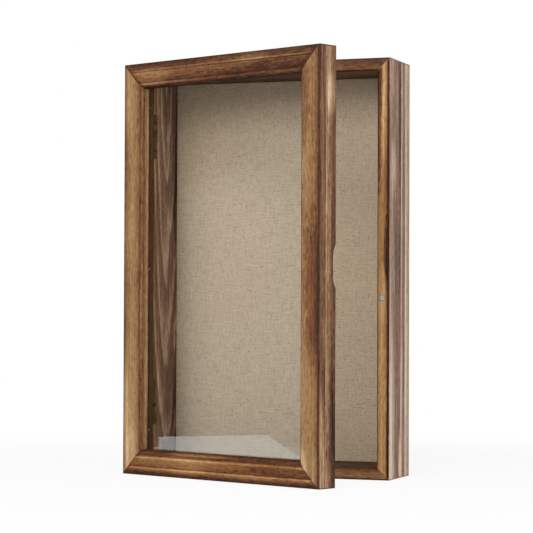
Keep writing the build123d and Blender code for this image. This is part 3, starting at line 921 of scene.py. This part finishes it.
def screwPattern():
    # A countersunk cross-head screw, its head's face at the origin and its point along +Z.
    steps, depth = screw["steps"], screw["recessDepth"]
    work = bmesh.new()
    rim = lathe(work, [
        (screw["headRadius"], 0.0),
        (screw["headRadius"] - screw["rim"][0], screw["rim"][1]),
        (screw["shankRadius"], screw["headHeight"]),
        (screw["shankRadius"], screw["length"] - screw["point"][0]),
        (0, screw["length"] - screw["point"][1]),
    ], steps)[0]
    reach, half = screw["recessReach"], screw["recessHalf"]
    arm = [(reach, -half), (reach, half), (half, half)]
    cross = arm + [(-y, x) for x, y in arm] + [(-x, -y) for x, y in arm] + [(y, -x) for x, y in arm]
    corners = len(cross)
    taper = screw["recessTaper"]
    mouth = [work.verts.new((x / 1000, y / 1000, 0)) for x, y in cross]
    floor = [work.verts.new((x * taper / 1000, y * taper / 1000, depth / 1000)) for x, y in cross]
    rimEdges = [work.edges.get((rim[k], rim[(k + 1) % steps])) for k in range(steps)]
    mouthEdges = [work.edges.new((mouth[k], mouth[(k + 1) % corners])) for k in range(corners)]
    bmesh.ops.triangle_fill(work, use_beauty=True, edges=rimEdges + mouthEdges)
    for k in range(corners):
        after = (k + 1) % corners
        work.faces.new([mouth[k], mouth[after], floor[after], floor[k]])
    work.faces.new(floor)
    bmesh.ops.recalc_face_normals(work, faces=work.faces)
    return settled("screwPattern", work, screw["smoothAngle"])


nail = {
    "headRadius": 1.6,
    "headHeight": 0.5,
    "domeAngles": (0.35, 0.7, 1.05, 1.3),
    "radius": 0.7,
    "length": 10.0,
    "pointLength": 1.5,
    "count": 2,
    "spacing": 38.0,
    "seed": 5,
    "steps": 24,
    "smoothAngle": 40.0,
}


def nailPattern():
    # A small round-headed nail, domed on top, pointing along +Z from the underside of its head.
    head, high, radius, length = [nail[key] for key in ("headRadius", "headHeight", "radius", "length")]
    dome = [(head * sin(angle), high - high * cos(angle)) for angle in nail["domeAngles"]]
    shank = [(radius, high), (radius, length - nail["pointLength"]), (0, length)]
    work = bmesh.new()
    lathe(work, [(0, 0.0)] + dome + [(head, high)] + shank, nail["steps"])
    bmesh.ops.recalc_face_normals(work, faces=work.faces)
    return settled("nailPattern", work, nail["smoothAngle"])


fasteners = fastenerRow()


def layRow(name, patternMesh, kind, seed, material, place, body):
    # Grows a row and puts it where its CAD fasteners are.
    pattern = placed(name + "Pattern", patternMesh)
    mesh = fasteners.grow(name, Pattern=pattern, Count=kind["count"], Spacing=kind["spacing"] / 1000,
                          Turn=pi, Seed=seed, Material=material)
    bpy.data.objects.remove(pattern)
    mesh.transform(place)
    return piece(name, mesh, material, body)


def placeFrom(origin, alongX, alongZ):
    # A matrix that takes a row's X and its fasteners' length to these directions.
    x, z = Vector(alongX).normalized(), Vector(alongZ).normalized()
    y = z.cross(x)
    turned = Matrix((x, y, z)).transposed().to_4x4()
    return Matrix.Translation(Vector(origin) / 1000) @ turned


swing = Matrix.Rotation(radians(-door["swing"]), 4, "Z")
pinPlace = Matrix.Translation(Vector((door["hingeX"], door["hingeY"], 0)) / 1000)
doorAtRest = pinPlace @ swing @ pinPlace.inverted()
screwMesh = screwPattern()
hingeLevels = {"upper": 347.0, "lower": 73.0}
for number, (where, level) in enumerate(hingeLevels.items()):
    for leaf, sign in (("case", 1), ("door", -1)):
        origin = (door["hingeX"] + screw["inset"], door["hingeY"] + sign * screw["leafFace"], level)
        place = placeFrom(origin, (0, 0, 1), (0, sign, 0))
        if leaf == "door":
            place = doorAtRest @ place
        seed = screw["seed"] + number * 2 + sign
        name = where + "_" + leaf + "_leaf_screws"
        made = layRow(name, screwMesh, screw, seed, metals["screw"], place, leaf)
        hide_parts(where + "_hinge_" + leaf + "_screws")
tackLow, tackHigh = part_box("hanger_nails")
tackPlace = placeFrom((0, tackHigh.y * 1000, (tackLow.z + tackHigh.z) * 500), (1, 0, 0), (0, -1, 0))
tacks = layRow("hanger_tacks", nailPattern(), nail, nail["seed"], metals["fastener"], tackPlace, "case")
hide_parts("hanger_nails")
print("screws and tacks")


# Slubs: the short thick places in the linen's yarn
slubs = {
    "width": 236.0,
    "height": 388.0,
    "middle": 210.0,
    "perSquareMetre": 1500.0,
    "length": 3.2,
    "lengthPoints": 6,
    "radius": 0.16,
    "corners": 6,
    "thinnest": 0.15,  # of the radius, at both ends
    "sizes": (0.35, 1.3),
    "seed": 11,
    "smoothAngle": 60.0,
    "tone": "#6A523C",
    "twist": (2.0, 3.0),
    "roughness": 0.9,
    "bump": (0.0001, 0.5),
}


def slubScatter():
    # Spindles of yarn strewn over a field, each along X or along Y.
    bed = Planter("slubScatter", Width="Float", Height="Float", Density="Float", Length="Float",
                  Radius="Float", Seed="Int", Material="Material")
    given = bed.given
    sockets = {"Size X": given["Width"], "Size Y": given["Height"], "Vertices X": 2, "Vertices Y": 2}
    field = bed.add("GeometryNodeMeshGrid", {}, sockets)
    sockets = {"Mesh": field, "Density": given["Density"], "Seed": given["Seed"]}
    spots = bed.add("GeometryNodeDistributePointsOnFaces", {"distribute_method": "RANDOM"}, sockets)
    start, end = [bed.join(given["Length"] * share, 0.0, 0.0) for share in (-0.5, 0.5)]
    line = bed.add("GeometryNodeCurvePrimitiveLine", {}, {"Start": start, "End": end})
    cut = bed.add("GeometryNodeResampleCurve", {}, {"Curve": line, "Count": slubs["lengthPoints"]})
    belly = (bed.add("GeometryNodeSplineParameter", out="Factor") * pi).sine()
    plump = belly * (1.0 - slubs["thinnest"]) + slubs["thinnest"]
    spindle = bed.add("GeometryNodeSetCurveRadius", {}, {"Curve": cut, "Radius": plump})
    sockets = {"Resolution": slubs["corners"], "Radius": given["Radius"]}
    section = bed.add("GeometryNodeCurvePrimitiveCircle", {"mode": "RADIUS"}, sockets)
    sockets = {"Curve": spindle, "Profile Curve": section, "Scale": plump, "Fill Caps": True}
    yarn = bed.add("GeometryNodeCurveToMesh", {}, sockets)
    laid = bed.add("GeometryNodeInstanceOnPoints", {}, {
        "Points": spots,
        "Instance": yarn,
        "Rotation": bed.join(0.0, 0.0, bed.chance("INT", 0, 1) * (pi / 2)),
        "Scale": bed.chance("FLOAT", *slubs["sizes"]),
    })
    return bed.end(laid)


def slubYarn():
    bench = Bench("slub_yarn")
    twist = bench.cloud(bench.point(), *slubs["twist"])
    tint = bench.mix(twist, slubs["tone"], linen["dark"])
    relief = bench.bump(twist, *slubs["bump"])
    return bench.surface(Base_Color=tint, Roughness=slubs["roughness"], Normal=relief)


yarn = slubYarn()
width, height, length, radius = [slubs[key] / 1000 for key in ("width", "height", "length", "radius")]
slubMesh = slubScatter().grow("linen_slubs", Width=width, Height=height, Density=slubs["perSquareMetre"],
                              Length=length, Radius=radius, Seed=slubs["seed"], Material=yarn)
slubFace = linen["face"] - linen["thickness"] / 2
slubMesh.transform(placeFrom((0, slubFace, slubs["middle"]), (1, 0, 0), (0, -1, 0)))
smooth(slubMesh, slubs["smoothAngle"])
slubPiece = piece("linen_slubs", slubMesh, yarn, "case")
print("slubs:", len(slubMesh.polygons), "faces")


white = (1, 1, 1, 1)
studio = {
    "floorHalf": 6.0,
    "floorDrop": 0.0002,
    "floorTints": ("#F6F6F5", "#FBFBFB"),
    "floorGrain": 40.0,
    "whiteFade": (0.32, 0.75),
    "floorGlow": 0.9,
    "worldLight": 0.35,
    "aim": (0, 0, 0.2),
}
lamps = {
    "key": {"power": 60.0, "place": (-0.2, -2.45, 1.4), "size": 2.0},
    "side": {"power": 19.5, "place": (2.4, -0.9, 0.9), "size": 1.3},
}


def seenDirectly(bench):
    # 1 for rays that show the background: to the camera, in a reflection, or through glass.
    camera, glossy, through = bench.rays("Is Camera Ray", "Is Glossy Ray", "Is Transmission Ray")
    return camera.atLeast(glossy).atLeast(through)


def paleFloor():
    # Pale and shadowed near the case, plain white further off.
    bench = Bench("pale_floor")
    x, y, z = bench.axes(bench.point(1.0))
    far = (x * x + y * y).root().fade(*studio["whiteFade"])
    grain = bench.cloud(bench.point(1.0), studio["floorGrain"])
    pale = bench.add("ShaderNodeBsdfDiffuse", {}, {"Color": bench.mix(grain, *studio["floorTints"])})
    bright = bench.add("ShaderNodeEmission", {}, {"Color": white, "Strength": 1.0})
    glow = studio["floorGlow"] + far * (1.0 - studio["floorGlow"])
    return bench.finish(bench.layer(glow * seenDirectly(bench), pale, bright))


def paleWorld():
    # White where it shows, dimmer where it only lights.
    bench = Bench("studio", bpy.data.worlds)
    lit, shown = [
        bench.add("ShaderNodeBackground", {}, {"Color": white, "Strength": strength})
        for strength in (studio["worldLight"], 1.0)
    ]
    return bench.finish(bench.layer(seenDirectly(bench), lit, shown), "ShaderNodeOutputWorld")


def stand(name, corners, material):
    # A flat piece of the studio.
    mesh = bpy.data.meshes.new(name)
    mesh.from_pydata(corners, [], [(0, 1, 2, 3)])
    mesh.materials.append(material)
    made = placed(name, mesh)
    return made


half = studio["floorHalf"]
floor = stand("floor", [(-half, -half, 0), (half, -half, 0), (half, half, 0), (-half, half, 0)], paleFloor())
floor.location.z = -studio["floorDrop"]
scene.world = paleWorld()


def softbox(name, look):
    lamp = bpy.data.lights.new(name, "AREA")
    lamp.shape = "SQUARE"
    lamp.size = look["size"]
    lamp.energy = look["power"]
    made = placed(name, lamp)
    made.location = look["place"]
    made.rotation_euler = (Vector(studio["aim"]) - Vector(look["place"])).to_track_quat("-Z", "Y").to_euler()


# Boards that only reflections see: a dark one keeps the upper and left glass clear, a bright one glints.
boards = {
    "right": (0.401, -0.9161, 0.0),
    "darkPlace": (-0.4687, -0.3048, 0.0),
    "darkCorners": [(-0.32, 0.0), (0.3, 0.0), (0.3, 0.8), (-0.32, 0.8)],
    "dark": "#0A0A0A",
    "upFade": (0.22, 0.425),
    "acrossFade": (-0.029, -0.066),
    "slope": 0.45,
    "leastCover": 0.42,
    "brightPlace": (-0.2855, -0.2246, 0.0),
    "brightCorners": [(-0.0793, -0.0136), (0.1009, -0.0117), (0.0437, 0.0271), (-0.0789, 0.0248)],
    "bright": "#EEF8FF",
    "brightness": 2.15,
}


def board(name, place, corners, material):
    made = stand(name, [(across, 0, up) for across, up in corners], material)
    made.location = place
    made.rotation_euler = Vector((1, 0, 0)).rotation_difference(Vector(boards["right"])).to_euler()
    made.visible_camera = made.visible_diffuse = made.visible_shadow = False


def inReflections(bench, shader):
    # Nothing unless the ray has bounced off something glossy on its way.
    bounces = bench.rays("Glossy Depth")[0]
    clear = bench.add("ShaderNodeBsdfTransparent")
    return bench.finish(bench.layer(bounces.atMost(1.0), clear, shader))


def darkCloth():
    bench = Bench("dark_board")
    across, away, up = bench.axes(bench.point(1.0))
    cover = (up - across * boards["slope"]).fade(*boards["upFade"])
    cover = cover.atLeast(across.fade(*boards["acrossFade"])).atLeast(boards["leastCover"])
    black = bench.add("ShaderNodeBsdfDiffuse", {}, {"Color": colour(boards["dark"])})
    return inReflections(bench, bench.layer(cover, bench.add("ShaderNodeBsdfTransparent"), black))


def brightCloth():
    bench = Bench("bright_board")
    sockets = {"Color": colour(boards["bright"]), "Strength": boards["brightness"]}
    return inReflections(bench, bench.add("ShaderNodeEmission", {}, sockets))


board("dark_board", boards["darkPlace"], boards["darkCorners"], darkCloth())
board("bright_board", boards["brightPlace"], boards["brightCorners"], brightCloth())

for name, look in lamps.items():
    softbox(name, look)

view = {
    "lens": 138.99,
    "sensor": 36.0,
    "clip": (0.05, 50.0),
    "place": (0.727081, -1.990826, 0.170257),
    "turns": [(0.354384, "Z"), (1.591038, "X"), (0.003571, "Z")],
}
camera = placed("camera", bpy.data.cameras.new("camera"))
camera.data.sensor_width = view["sensor"]
camera.data.lens = view["lens"]
camera.data.clip_start, camera.data.clip_end = view["clip"]
camera.location = view["place"]
first, second, third = [Matrix.Rotation(angle, 3, axis) for angle, axis in view["turns"]]
camera.rotation_euler = (first @ second @ third).to_euler()
scene.camera = camera
scene.view_settings.view_transform = "Standard"
print("studio and camera")
